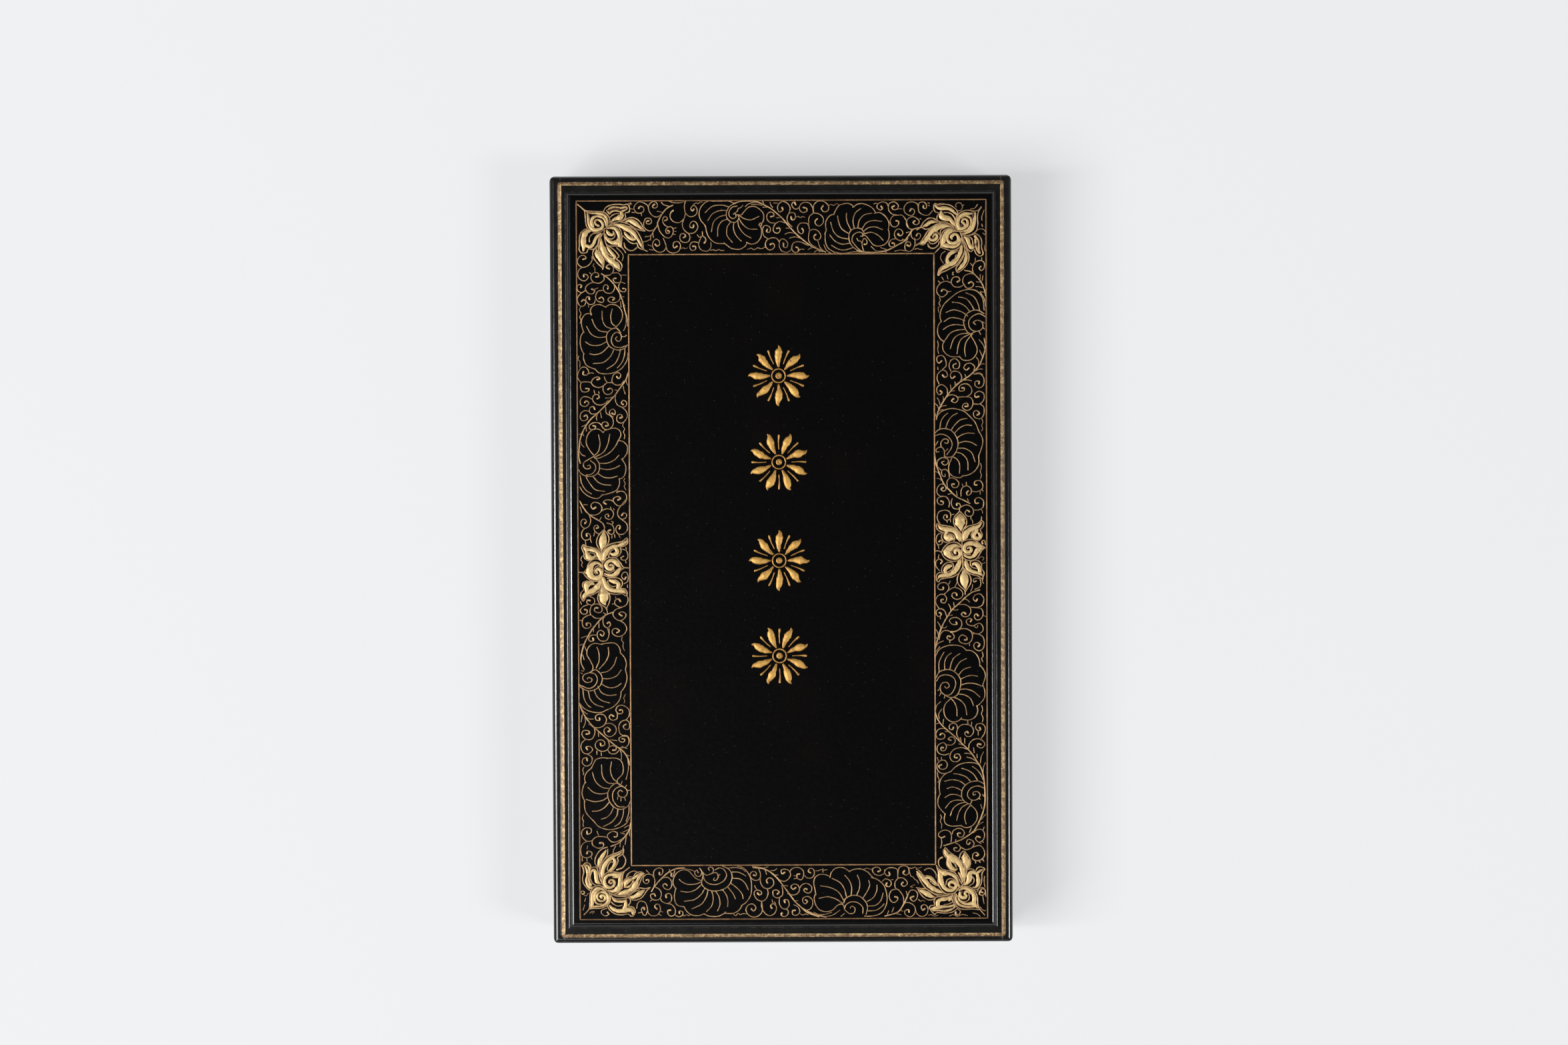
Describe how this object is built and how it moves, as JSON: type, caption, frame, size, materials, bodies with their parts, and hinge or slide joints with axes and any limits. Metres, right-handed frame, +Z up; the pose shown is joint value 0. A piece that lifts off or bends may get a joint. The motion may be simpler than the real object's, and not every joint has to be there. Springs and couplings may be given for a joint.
{
  "type": "lacquer ink stick box",
  "caption": "Low rectangular black lacquer box with a lift-off lid, moulded raised panel, inner lip and a silk-lined tray of recesses for ink sticks.",
  "frame": {"origin": "middle of the underside, on the surface that the box stands on", "axes": "+Z up, +Y along the length towards the top end of the lid's border, +X across the width to the right"},
  "size_m": [0.15, 0.25, 0.038],
  "materials": {
    "lacquer": "polished black lacquer over wood",
    "gilding": "gold painted into incised lines",
    "dowel_wood": "bare bamboo",
    "silk": "figured silk over a wooden strip",
    "silk_pad": "plain silk over thin wadding"
  },
  "bodies": {
    "base": {"base_wall_left": "lacquer", "base_wall_right": "lacquer", "base_wall_front": "lacquer", "base_wall_back": "lacquer", "base_bottom_board": "lacquer", "base_dowels": "dowel_wood", "lip_left": "lacquer", "lip_right": "lacquer", "lip_front": "lacquer", "lip_back": "lacquer", "tray_rail_left": "silk", "tray_rail_right": "silk", "tray_divider_1": "silk", "tray_divider_2": "silk", "tray_divider_3": "silk", "tray_divider_4": "silk", "tray_divider_5": "silk", "tray_divider_6": "silk", "stick_pad_1": "silk_pad", "stick_pad_2": "silk_pad", "stick_pad_3": "silk_pad", "stick_pad_4": "silk_pad", "stick_pad_5": "silk_pad"},
    "lid": {"lid_raised_panel": "lacquer", "lid_top_board": "lacquer", "lid_lining": "silk_pad", "lid_dowels": "dowel_wood", "lid_wall_left": "lacquer", "lid_wall_right": "lacquer", "lid_wall_front": "lacquer", "lid_wall_back": "lacquer"}
  },
  "joints": [
    {"name": "lid_lift", "type": "slide", "parent": "base", "child": "lid", "axis": [0, 0, 1], "range_m": [0, 0.12]}
  ]
}
